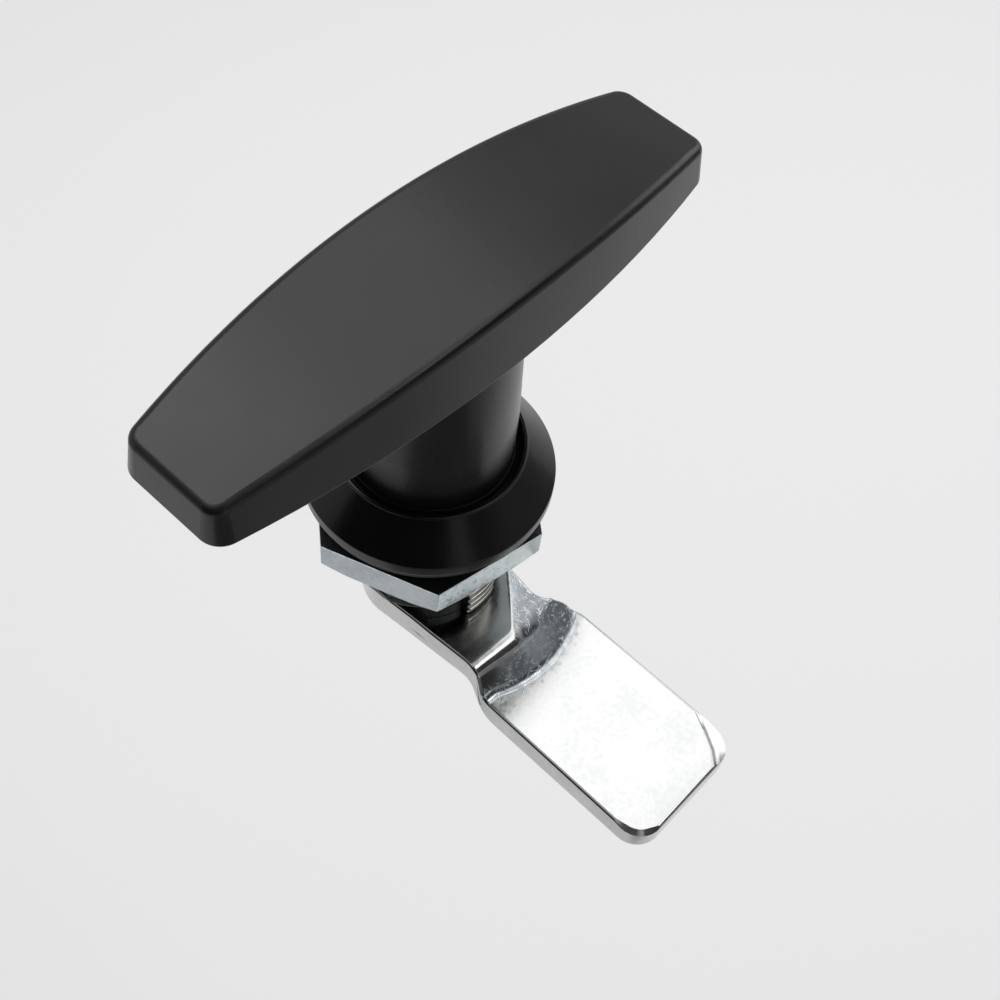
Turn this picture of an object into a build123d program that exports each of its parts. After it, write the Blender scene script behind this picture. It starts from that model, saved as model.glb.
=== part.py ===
"""T-handle quarter-turn cabinet latch.

Millimetres. The spindle axis is Z, pointing out of the cabinet. The gasket meets the panel at Z = 0.
The grip lies along X and the cam points to -Y, as the latch stands at rest.
"""

import os
from math import radians, sqrt, tan

from build123d import *

os.makedirs("parts", exist_ok=True)

# Reach within which a corner is picked around a known coordinate
pick_margin = 1.0

# Grip
grip_half_length = 41.0
grip_half_width_end = 7.6
grip_half_width_mid = 12.1
grip_corner_radius = 3.0
grip_draft_deg = 7.5
grip_underside_z = 33.9
grip_top_end_z = 39.3
grip_top_mid_z = 43.3
grip_top_edge_radius = 1.1
grip_bottom_edge_radius = 0.3
grip_block_height = 12.0

# Pockets cast into the underside of the grip
pocket_lengths = (7.0, 7.0, 6.0)
pocket_starts = (13.0, 22.0, 31.0)
pocket_depths = (5.6, 4.8, 3.4)
pocket_widths = (7.6, 7.2, 5.4)
pocket_rib = 1.8
pocket_corner = 1.0

# Stem
stem_radius = 11.1
stem_radius_at_grip = 10.2
stem_taper_start_z = 16.0
stem_shoulder_z = 4.3
stem_edge_chamfer = 0.5
stem_sink_into_grip = 1.0
stem_bore_top_z = 24.2

# Spindle
journal_radius = 8.0
running_clearance = 0.03
seated_clearance = 0.02
spindle_top_z = 24.0
journal_end_z = -19.0
square_width = 8.0
square_end_z = -26.2
square_edge_radius = 0.6
tapped_depth = 14.0

# Cross pin
pin_radius = 1.25
pin_half_length = 10.9
pin_z = 6.4
pin_edge_chamfer = 0.3

# Housing
flange_underside_z = 1.5
rim_radius = 17.2
rim_top_z = 3.7
rim_edge = 0.3
lip_radius = 13.0
lip_inner_radius = 12.3
lip_top_z = 8.5
lip_edge_radius = 0.3
recess_floor_z = 6.2
counterbore_radius = 11.15
ledge_z = 3.6
barrel_radius = 12.0
barrel_end_z = -16.5
barrel_flat = 11.2
ring_recess_radius = 9.3
ring_recess_top_z = -15.2
thread_pitch = 1.5
thread_depth = 0.8
thread_start_z = -3.2
groove_overshoot = 0.3

# Stop lug on the barrel
lug_left_x = -2.1
lug_right_x = 3.1
lug_inner_radius = 9.3
lug_end_z = -21.2

# Gasket and wiper ring
gasket_outer_radius = 16.6
gasket_inner_radius = 12.4
gasket_edge = 0.25
wiper_inner_radius = 11.45
wiper_outer_radius = 12.25
wiper_bottom_z = 6.25
wiper_top_z = 7.9
wiper_bevel = 0.35

# Disc spring
spring_inner_radius = 8.4
spring_outer_radius = 10.9
spring_thickness = 0.35
spring_gap = 0.03

# Ring seal on the spindle
seal_groove_radius = 6.6
seal_groove_width = 1.4
seal_section_radius = 0.56
seal_z = -3.0

# Retaining ring
ring_groove_radius = 7.4
ring_groove_width = 1.1
ring_thickness = 1.0
ring_inner_radius = 7.42
ring_outer_radius = 9.0
ring_z = -16.4
ring_gap = 3.0

# Panel nut
nut_across_flats = 30.0
nut_top_z = -3.2
nut_thickness = 5.0
nut_bore_radius = 12.05
nut_turn_deg = 49.6
nut_bevel = 0.7

# Stop plate
stop_thickness = 2.5
stop_hub_radius = 8.4
stop_tab_radius = 10.4
stop_tab_width = 4.6
stop_clearance = 0.05
square_hole_clearance = 0.05

# Cam
cam_top_z = -21.5
cam_thickness = 5.2
cam_head_radius = 8.9
cam_neck_half_width = 7.7
cam_neck_y = -16.5
cam_drop = 5.9
cam_bow_x = 2.0
cam_bow_radius = 18.0
cam_top_start_y = -20.6
cam_top_end_y = -22.8
cam_bottom_start_y = -19.4
cam_bottom_end_y = -23.3
cam_top_outer_bend_radius = 1.8
cam_top_inner_bend_radius = 2.0
cam_bottom_inner_bend_radius = 2.0
cam_bottom_outer_bend_radius = 5.0
cam_trim = 4.0
cam_flare_end_y = -20.0
cam_flare_radius = 2.5
cam_near_x = -8.1
cam_near_tip_x = -8.4
cam_far_x = 13.1
cam_tip_y = -51.5
cam_near_corner = 4.0
cam_far_corner = 3.8
cam_facet_x = 7.7
cam_facet_y = -43.3
cam_facet_reach = 12.0
cam_facet_slope_deg = 24.0

# Fasteners below the cam
washer_radius = 7.0
washer_bore_radius = 3.2
washer_thickness = 1.5
washer_edge = 0.3
lock_outer_radius = 5.6
lock_inner_radius = 3.1
lock_thickness = 1.6
lock_slit = 0.9
lock_slit_lean_deg = 20.0
screw_radius = 3.0
screw_length = 16.0
screw_head_flats = 10.0
screw_head_height = 4.0
screw_bevel = 0.5
thread_clearance = 0.02


def ring_groove_heights(top, bottom):
    """Heights of the thread grooves between two levels."""
    count = int((top - bottom) / thread_pitch)
    return [top - (i + 0.5) * thread_pitch for i in range(count)]


# Handle: grip and stem in one casting
with BuildPart() as handle:
    with BuildSketch(Plane.XY.offset(grip_underside_z)):
        with BuildLine():
            ThreePointArc(
                (-grip_half_length, -grip_half_width_end),
                (0, -grip_half_width_mid),
                (grip_half_length, -grip_half_width_end),
            )
            Line((grip_half_length, -grip_half_width_end), (grip_half_length, grip_half_width_end))
            ThreePointArc(
                (grip_half_length, grip_half_width_end),
                (0, grip_half_width_mid),
                (-grip_half_length, grip_half_width_end),
            )
            Line((-grip_half_length, grip_half_width_end), (-grip_half_length, -grip_half_width_end))
        make_face()
        fillet(vertices(), grip_corner_radius)
    extrude(amount=grip_block_height, taper=grip_draft_deg)
    with BuildSketch(Plane.XZ):
        with BuildLine():
            ThreePointArc(
                (-grip_half_length, grip_top_end_z),
                (0, grip_top_mid_z),
                (grip_half_length, grip_top_end_z),
            )
            Polyline(
                (grip_half_length, grip_top_end_z),
                (grip_half_length, grip_top_mid_z + grip_block_height),
                (-grip_half_length, grip_top_mid_z + grip_block_height),
                (-grip_half_length, grip_top_end_z),
            )
        make_face()
    extrude(amount=2 * grip_half_width_mid, both=True, mode=Mode.SUBTRACT)
    crown = handle.faces().sort_by(Axis.Z)[-1]
    fillet(crown.edges(), grip_top_edge_radius)
    underside = handle.faces().sort_by(Axis.Z)[0]
    fillet(underside.edges(), grip_bottom_edge_radius)
    with BuildSketch(Plane.XZ):
        with BuildLine():
            Polyline(
                (0, stem_shoulder_z),
                (stem_radius - stem_edge_chamfer, stem_shoulder_z),
                (stem_radius, stem_shoulder_z + stem_edge_chamfer),
                (stem_radius, stem_taper_start_z),
                (stem_radius_at_grip, grip_underside_z + stem_sink_into_grip),
                (0, grip_underside_z + stem_sink_into_grip),
                close=True,
            )
        make_face()
    revolve(axis=Axis.Z)
    for start, length, depth, width in zip(pocket_starts, pocket_lengths, pocket_depths, pocket_widths):
        with BuildSketch(Plane.XY.offset(grip_underside_z)):
            with Locations(
                (start + length / 2, (width + pocket_rib) / 2),
                (start + length / 2, -(width + pocket_rib) / 2),
                (-start - length / 2, (width + pocket_rib) / 2),
                (-start - length / 2, -(width + pocket_rib) / 2),
            ):
                RectangleRounded(length, width, pocket_corner)
        extrude(amount=depth, mode=Mode.SUBTRACT)
    with BuildSketch(Plane.XY.offset(stem_shoulder_z)):
        Circle(journal_radius + seated_clearance)
    extrude(amount=stem_bore_top_z - stem_shoulder_z, mode=Mode.SUBTRACT)
    with BuildSketch(Plane.XZ):
        with Locations((0, pin_z)):
            Circle(pin_radius)
    extrude(amount=2 * stem_radius, both=True, mode=Mode.SUBTRACT)
handle.part.label = "handle"
export_step(handle.part, "parts/handle.step")

# Spindle: journal, seal groove, ring groove, square end and tapped hole
with BuildPart() as spindle:
    with BuildSketch(Plane.XY.offset(journal_end_z)):
        Circle(journal_radius)
    extrude(amount=spindle_top_z - journal_end_z)
    chamfer(spindle.edges().sort_by(Axis.Z)[-1], stem_edge_chamfer)
    with BuildSketch(Plane.XY.offset(square_end_z)):
        RectangleRounded(square_width, square_width, square_edge_radius)
    extrude(amount=journal_end_z - square_end_z)
    with BuildSketch(Plane.XY.offset(seal_z - seal_groove_width / 2)):
        Circle(journal_radius + groove_overshoot)
        Circle(seal_groove_radius, mode=Mode.SUBTRACT)
    extrude(amount=seal_groove_width, mode=Mode.SUBTRACT)
    with BuildSketch(Plane.XY.offset(ring_z - (ring_groove_width - ring_thickness) / 2)):
        Circle(journal_radius + groove_overshoot)
        Circle(ring_groove_radius, mode=Mode.SUBTRACT)
    extrude(amount=ring_groove_width, mode=Mode.SUBTRACT)
    with BuildSketch(Plane.XY.offset(square_end_z)):
        Circle(screw_radius)
    extrude(amount=tapped_depth, mode=Mode.SUBTRACT)
    with BuildSketch(Plane.XZ):
        with Locations((0, pin_z)):
            Circle(pin_radius)
    extrude(amount=2 * stem_radius, both=True, mode=Mode.SUBTRACT)
spindle.part.label = "spindle"
export_step(spindle.part, "parts/spindle.step")

# Cross pin through stem and spindle
with BuildPart() as cross_pin:
    with BuildSketch(Plane.XZ.offset(-pin_half_length)):
        with Locations((0, pin_z)):
            Circle(pin_radius - seated_clearance)
    extrude(amount=2 * pin_half_length)
    chamfer(cross_pin.edges().filter_by(GeomType.CIRCLE), pin_edge_chamfer)
cross_pin.part.label = "cross_pin"
export_step(cross_pin.part, "parts/cross_pin.step")

# Housing: conical flange, lip, bore and threaded barrel with stop lug
with BuildPart() as housing:
    with BuildSketch(Plane.XZ):
        with BuildLine():
            Polyline(
                (journal_radius + running_clearance, ledge_z),
                (counterbore_radius, ledge_z),
                (counterbore_radius, recess_floor_z),
                (lip_inner_radius, recess_floor_z),
                (lip_inner_radius, lip_top_z - lip_edge_radius),
                (lip_inner_radius + lip_edge_radius, lip_top_z),
                (lip_radius - lip_edge_radius, lip_top_z),
                (lip_radius, lip_top_z - lip_edge_radius),
                (rim_radius - rim_edge, rim_top_z),
                (rim_radius, rim_top_z - rim_edge),
                (rim_radius, flange_underside_z + rim_edge),
                (rim_radius - rim_edge, flange_underside_z),
                (barrel_radius, flange_underside_z),
                (barrel_radius, barrel_end_z),
                (ring_recess_radius, barrel_end_z),
                (ring_recess_radius, ring_recess_top_z),
                (journal_radius + running_clearance, ring_recess_top_z),
                close=True,
            )
        make_face()
    revolve(axis=Axis.Z)
    with BuildSketch(Plane.XY.offset(lug_end_z)):
        with Locations(((lug_left_x + lug_right_x) / 2, -barrel_radius / 2)):
            Rectangle(lug_right_x - lug_left_x, barrel_radius)
        Circle(barrel_radius, mode=Mode.INTERSECT)
        Circle(lug_inner_radius, mode=Mode.SUBTRACT)
    extrude(amount=barrel_end_z - lug_end_z)
    with BuildSketch(Plane.XZ):
        for groove_z in ring_groove_heights(thread_start_z, lug_end_z):
            with BuildLine():
                Polyline(
                    (barrel_radius + groove_overshoot, groove_z + thread_pitch / 2),
                    (barrel_radius - thread_depth, groove_z),
                    (barrel_radius + groove_overshoot, groove_z - thread_pitch / 2),
                    close=True,
                )
            make_face()
    revolve(axis=Axis.Z, mode=Mode.SUBTRACT)
    with BuildSketch(Plane.XY.offset(flange_underside_z)):
        with Locations((barrel_flat + barrel_radius / 2, 0), (-barrel_flat - barrel_radius / 2, 0)):
            Rectangle(barrel_radius, 2 * barrel_radius)
    extrude(amount=lug_end_z - flange_underside_z, mode=Mode.SUBTRACT)
housing.part.label = "housing"
export_step(housing.part, "parts/housing.step")

# Flat gasket between flange and panel
with BuildPart() as gasket:
    with BuildSketch():
        Circle(gasket_outer_radius)
        Circle(gasket_inner_radius, mode=Mode.SUBTRACT)
    extrude(amount=flange_underside_z)
    fillet(gasket.edges().group_by(Axis.Z)[0].sort_by(SortBy.LENGTH)[-1], gasket_edge)
gasket.part.label = "gasket"
export_step(gasket.part, "parts/gasket.step")

# Wiper ring in the recess of the flange
with BuildPart() as wiper_ring:
    with BuildSketch(Plane.XZ):
        with BuildLine():
            Polyline(
                (wiper_inner_radius, wiper_bottom_z),
                (wiper_outer_radius, wiper_bottom_z),
                (wiper_outer_radius, wiper_top_z - wiper_bevel),
                (wiper_outer_radius - wiper_bevel, wiper_top_z),
                (wiper_inner_radius, wiper_top_z),
                close=True,
            )
        make_face()
    revolve(axis=Axis.Z)
wiper_ring.part.label = "wiper_ring"
export_step(wiper_ring.part, "parts/wiper_ring.step")

# Disc spring between the stem and the ledge of the housing
with BuildPart() as disc_spring:
    with BuildSketch(Plane.XZ):
        with BuildLine():
            Polyline(
                (spring_outer_radius, ledge_z + spring_gap),
                (spring_outer_radius, ledge_z + spring_gap + spring_thickness),
                (spring_inner_radius, stem_shoulder_z - spring_gap),
                (spring_inner_radius, stem_shoulder_z - spring_gap - spring_thickness),
                close=True,
            )
        make_face()
    revolve(axis=Axis.Z)
disc_spring.part.label = "disc_spring"
export_step(disc_spring.part, "parts/disc_spring.step")

# Ring seal in the groove of the spindle
with BuildPart() as o_ring:
    with BuildSketch(Plane.XZ):
        with Locations((seal_groove_radius + seal_section_radius, seal_z)):
            Circle(seal_section_radius)
    revolve(axis=Axis.Z)
o_ring.part.label = "o_ring"
export_step(o_ring.part, "parts/o_ring.step")

# Retaining ring that keeps the spindle in the housing
with BuildPart() as retaining_ring:
    with BuildSketch(Plane.XY.offset(ring_z)):
        Circle(ring_outer_radius)
        Circle(ring_inner_radius, mode=Mode.SUBTRACT)
        Rectangle(ring_gap, 2 * ring_outer_radius, align=(Align.CENTER, Align.MIN), mode=Mode.SUBTRACT)
    extrude(amount=ring_thickness)
retaining_ring.part.label = "retaining_ring"
export_step(retaining_ring.part, "parts/retaining_ring.step")

# Hexagonal panel nut, bevelled on its lower side
nut_corner_radius = nut_across_flats / sqrt(3)
with BuildPart() as panel_nut:
    with BuildSketch(Plane.XY.offset(nut_top_z - nut_thickness)):
        RegularPolygon(nut_corner_radius, 6, rotation=nut_turn_deg)
    extrude(amount=nut_thickness)
    with BuildSketch(Plane.XZ):
        with BuildLine():
            Polyline(
                (0, nut_top_z),
                (nut_corner_radius, nut_top_z),
                (nut_corner_radius, nut_top_z - nut_thickness + nut_bevel),
                (nut_across_flats / 2 + nut_bevel, nut_top_z - nut_thickness),
                (0, nut_top_z - nut_thickness),
                close=True,
            )
        make_face()
    revolve(axis=Axis.Z, mode=Mode.INTERSECT)
    with BuildSketch(Plane.XY.offset(nut_top_z - nut_thickness)):
        Circle(nut_bore_radius)
    extrude(amount=nut_thickness, mode=Mode.SUBTRACT)
panel_nut.part.label = "panel_nut"
export_step(panel_nut.part, "parts/panel_nut.step")

# Stop plate on the square: each of its two tabs meets one side of the lug, a quarter turn apart
stop_plate_bottom_z = journal_end_z - stop_thickness
with BuildPart() as stop_plate:
    with BuildSketch(Plane.XY.offset(stop_plate_bottom_z)):
        with Locations((lug_left_x - stop_clearance, 0)):
            Rectangle(stop_tab_width, stop_tab_radius, align=(Align.MAX, Align.MAX))
        with Locations((0, lug_right_x + stop_clearance)):
            Rectangle(stop_tab_radius, stop_tab_width, align=(Align.MIN, Align.MIN))
        Circle(stop_tab_radius, mode=Mode.INTERSECT)
        Circle(stop_hub_radius)
        Rectangle(
            square_width + 2 * square_hole_clearance,
            square_width + 2 * square_hole_clearance,
            mode=Mode.SUBTRACT,
        )
    extrude(amount=stop_thickness)
stop_plate.part.label = "stop_plate"
export_step(stop_plate.part, "parts/stop_plate.step")

# Cam: side profile of the joggled plate, turned so that the joggle is bowed, trimmed to its outline from above
cam_bottom_z = cam_top_z - cam_thickness
cam_outer_top_z = cam_top_z - cam_drop
cam_bow_centre_y = cam_top_start_y + cam_bow_radius
cam_bow_axis = Axis((cam_bow_x, cam_bow_centre_y, 0), (0, 0, 1))
with BuildPart() as cam:
    with BuildSketch(Plane.YZ.offset(cam_bow_x)):
        with BuildLine():
            Polyline(
                (cam_bow_centre_y, cam_top_z),
                (cam_top_start_y, cam_top_z),
                (cam_top_end_y, cam_outer_top_z),
                (cam_tip_y - cam_trim, cam_outer_top_z),
                (cam_tip_y - cam_trim, cam_outer_top_z - cam_thickness),
                (cam_bottom_end_y, cam_outer_top_z - cam_thickness),
                (cam_bottom_start_y, cam_bottom_z),
                (cam_bow_centre_y, cam_bottom_z),
                close=True,
            )
        make_face()
        bends = [
            corner
            for corner in vertices()
            if cam_bottom_end_y - pick_margin < corner.X < cam_bottom_start_y + pick_margin
        ]
        bends.sort(key=lambda corner: corner.Y)
        fillet(bends[0], cam_bottom_outer_bend_radius)
        fillet(bends[1], cam_top_inner_bend_radius)
        fillet(bends[2], cam_bottom_inner_bend_radius)
        fillet(bends[3], cam_top_outer_bend_radius)
    revolve(axis=cam_bow_axis)
    with BuildSketch(Plane.XY.offset(cam_outer_top_z - cam_thickness)):
        with BuildLine():
            Polyline(
                (-cam_neck_half_width, cam_neck_y),
                (cam_near_x, cam_flare_end_y),
                (cam_near_tip_x, cam_tip_y),
                (cam_far_x, cam_tip_y),
                (cam_far_x, cam_flare_end_y),
                (cam_neck_half_width, cam_neck_y),
                (cam_head_radius, 0),
                (-cam_head_radius, 0),
                close=True,
            )
        make_face()
        tip = [corner for corner in vertices() if corner.Y < cam_tip_y + pick_margin]
        fillet([corner for corner in tip if corner.X < 0], cam_near_corner)
        tip = [corner for corner in vertices() if corner.Y < cam_tip_y + pick_margin]
        fillet([corner for corner in tip if corner.X > cam_far_x - pick_margin], cam_far_corner)
        flare = [
            corner
            for corner in vertices()
            if cam_flare_end_y - pick_margin < corner.Y < cam_neck_y + pick_margin
        ]
        fillet([corner for corner in flare if corner.X > 0], cam_flare_radius)
        Circle(cam_head_radius)
    extrude(amount=cam_drop + cam_thickness, mode=Mode.INTERSECT)
    facet_line = Vector(cam_facet_x - cam_far_x, cam_tip_y - cam_facet_y, 0).normalized()
    facet_across = facet_line.cross(Vector(0, 0, 1))
    facet_plane = Plane(
        origin=(cam_far_x, cam_facet_y, cam_outer_top_z),
        x_dir=facet_across * (1 if facet_across.X > 0 else -1),
        z_dir=facet_line,
    )
    with BuildSketch(facet_plane):
        facet_fall = cam_facet_reach * tan(radians(cam_facet_slope_deg))
        upright = 1 if facet_plane.y_dir.Z > 0 else -1
        with BuildLine():
            Polyline(
                (0, 0),
                (cam_facet_reach, -upright * facet_fall),
                (cam_facet_reach, upright * facet_fall),
                (0, upright * facet_fall),
                close=True,
            )
        make_face()
    extrude(amount=2 * cam_facet_reach, both=True, mode=Mode.SUBTRACT)
    with BuildSketch(Plane.XY.offset(cam_bottom_z)):
        Rectangle(
            square_width + 2 * square_hole_clearance,
            square_width + 2 * square_hole_clearance,
        )
    extrude(amount=cam_thickness, mode=Mode.SUBTRACT)
cam.part.label = "cam"
export_step(cam.part, "parts/cam.step")

# Flat washer under the cam
with BuildPart() as flat_washer:
    with BuildSketch(Plane.XY.offset(cam_bottom_z - washer_thickness)):
        Circle(washer_radius)
        Circle(washer_bore_radius, mode=Mode.SUBTRACT)
    extrude(amount=washer_thickness)
    chamfer(flat_washer.edges().group_by(Axis.Z)[0].sort_by(SortBy.LENGTH)[-1], washer_edge)
flat_washer.part.label = "flat_washer"
export_step(flat_washer.part, "parts/flat_washer.step")

# Split lock washer
lock_bottom_z = cam_bottom_z - washer_thickness - lock_thickness
with BuildPart() as lock_washer:
    with BuildSketch(Plane.XY.offset(lock_bottom_z)):
        Circle(lock_outer_radius)
        Circle(lock_inner_radius, mode=Mode.SUBTRACT)
    extrude(amount=lock_thickness)
    with BuildSketch(Plane.XZ):
        with Locations((0, lock_bottom_z + lock_thickness / 2)):
            Rectangle(lock_slit, 2 * lock_thickness, rotation=lock_slit_lean_deg)
    extrude(amount=-2 * lock_outer_radius, mode=Mode.SUBTRACT)
lock_washer.part.label = "lock_washer"
export_step(lock_washer.part, "parts/lock_washer.step")

# Hexagon screw in the end of the spindle
head_corner_radius = screw_head_flats / sqrt(3)
with BuildPart() as cam_screw:
    with BuildSketch(Plane.XY.offset(lock_bottom_z - screw_head_height)):
        RegularPolygon(screw_head_flats / 2, 6, major_radius=False)
    extrude(amount=screw_head_height)
    with BuildSketch(Plane.XZ):
        with BuildLine():
            Polyline(
                (0, lock_bottom_z),
                (head_corner_radius, lock_bottom_z),
                (head_corner_radius, lock_bottom_z - screw_head_height + screw_bevel),
                (screw_head_flats / 2, lock_bottom_z - screw_head_height),
                (0, lock_bottom_z - screw_head_height),
                close=True,
            )
        make_face()
    revolve(axis=Axis.Z, mode=Mode.INTERSECT)
    with BuildSketch(Plane.XY.offset(lock_bottom_z)):
        Circle(screw_radius - thread_clearance)
    extrude(amount=screw_length)
    chamfer(cam_screw.edges().sort_by(Axis.Z)[-1], screw_bevel)
cam_screw.part.label = "cam_screw"
export_step(cam_screw.part, "parts/cam_screw.step")
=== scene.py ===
"""T-handle quarter-turn cabinet latch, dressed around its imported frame.

Sizes are in millimetres unless a name ends in _m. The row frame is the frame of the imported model: Z is the
spindle axis out of the cabinet, Z = 0 is where the gasket meets the panel, the grip lies along X and the
cam points to -Y.
"""

import logging
from cmath import phase, rect
from collections.abc import Callable, Iterator, Sequence
from contextlib import contextmanager
from dataclasses import dataclass, field, replace
from enum import Enum
from math import cos, hypot, pi, radians, sin, sqrt, tan

import bpy
from mathutils import Matrix, Vector


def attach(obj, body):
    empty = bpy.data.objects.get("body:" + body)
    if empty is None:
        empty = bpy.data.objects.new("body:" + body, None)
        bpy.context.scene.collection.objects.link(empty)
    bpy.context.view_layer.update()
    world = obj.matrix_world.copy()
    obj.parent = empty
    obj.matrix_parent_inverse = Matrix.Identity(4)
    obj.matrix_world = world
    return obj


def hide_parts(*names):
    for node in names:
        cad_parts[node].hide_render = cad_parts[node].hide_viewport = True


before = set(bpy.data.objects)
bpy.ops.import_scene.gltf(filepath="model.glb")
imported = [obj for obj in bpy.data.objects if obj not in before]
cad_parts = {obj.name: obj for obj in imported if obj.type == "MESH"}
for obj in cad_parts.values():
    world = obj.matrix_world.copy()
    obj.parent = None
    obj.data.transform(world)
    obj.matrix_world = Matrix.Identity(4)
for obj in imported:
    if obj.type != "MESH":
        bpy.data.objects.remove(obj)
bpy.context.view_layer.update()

MM = 0.001
CUT_REACH_M = 1e-7
AXIS_REACH = 0.0005
LEVEL = 0.99999
LEVEL_TURN_DEG = 0.5
FLATS_WEIGHT = 80
MIDDLE = (0.3, 0.7)
HOUSING_BODY = "housing_group"
TURNING_BODY = "turning_group"

Point2 = tuple[float, float]
Point3 = tuple[float, float, float]
Colour = tuple[float, float, float, float]
Piece = bpy.types.Object
Material = bpy.types.Material
Socket = bpy.types.NodeSocket
Inputs = dict[str | int, Socket | float | Sequence[float]]

log = logging.getLogger("latch")


class Cut(Enum):
    """How one solid works on another."""

    TAKE_AWAY = "DIFFERENCE"
    ADD = "UNION"
    KEEP_COMMON = "INTERSECT"


class Side(Enum):
    """The side of a cutting plane that is removed."""

    BEHIND = "inner"
    AHEAD = "outer"


def rounded(corners: Sequence[Point3], steps: int = 5) -> list[Point2]:
    """Rounds the corners of a chain of points.

    Args:
        corners: First coordinate, second coordinate and rounding radius of each corner, in order. The first
            and last corners of the chain stay sharp.
        steps: Number of edges in a rounding of a quarter turn.

    Returns:
        The points of the rounded chain.
    """
    points: list[Point2] = [corners[0][:2]]
    for before, here, after in zip(corners, corners[1:], corners[2:]):
        radius = here[2]
        if radius <= 0:
            points.append(here[:2])
            continue
        corner = complex(*here[:2])
        first, second = (complex(*end[:2]) - corner for end in (before, after))
        first, second = first / abs(first), second / abs(second)
        half = abs(phase(second / first)) / 2
        centre = corner + (first + second) / abs(first + second) * radius / sin(half)
        start, end = (phase(corner + way * radius / tan(half) - centre) for way in (first, second))
        turn = (end - start + pi) % (2 * pi) - pi
        count = max(2, round(steps * abs(turn) / (pi / 2)))
        arc = [centre + rect(radius, start + turn * i / count) for i in range(count + 1)]
        points += [(point.real, point.imag) for point in arc]
    points.append(corners[-1][:2])
    return points


def clamped(value: float) -> float:
    """The value, held between 0 and 1."""
    return max(0.0, min(1.0, value))


def ring(corners: Sequence[Point3], steps: int = 5) -> list[Point2]:
    """Rounds the corners of a closed chain that begins at a sharp corner, and names each point once."""
    return rounded([*corners, corners[0]], steps)[:-1]


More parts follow.
